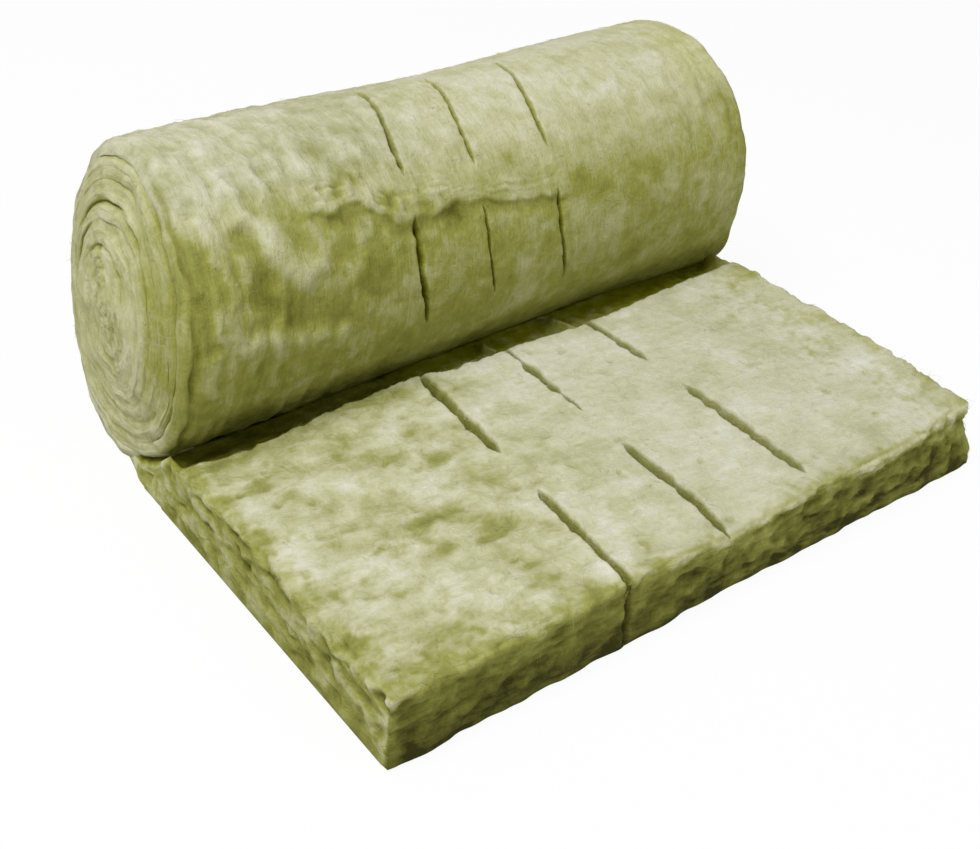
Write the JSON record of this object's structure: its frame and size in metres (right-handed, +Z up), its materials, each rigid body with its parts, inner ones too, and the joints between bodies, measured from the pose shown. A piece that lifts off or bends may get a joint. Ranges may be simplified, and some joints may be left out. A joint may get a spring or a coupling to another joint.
{
  "type": "insulation roll",
  "caption": "Partly unrolled mineral wool loft-insulation roll: a thick part-cut mat laid flat in front, wound into a roll behind.",
  "frame": {"origin": "middle of the box's base, on the floor that the mat lies on", "axes": "+X along the roll's axis, across the mat's width; +Y from the mat's free front edge to the roll; +Z up"},
  "size_m": [1.14, 1.029, 0.4702],
  "materials": {
    "mineral_wool": "matt"
  },
  "bodies": {
    "root": {"wool_mat": "mineral_wool"}
  },
  "joints": []
}
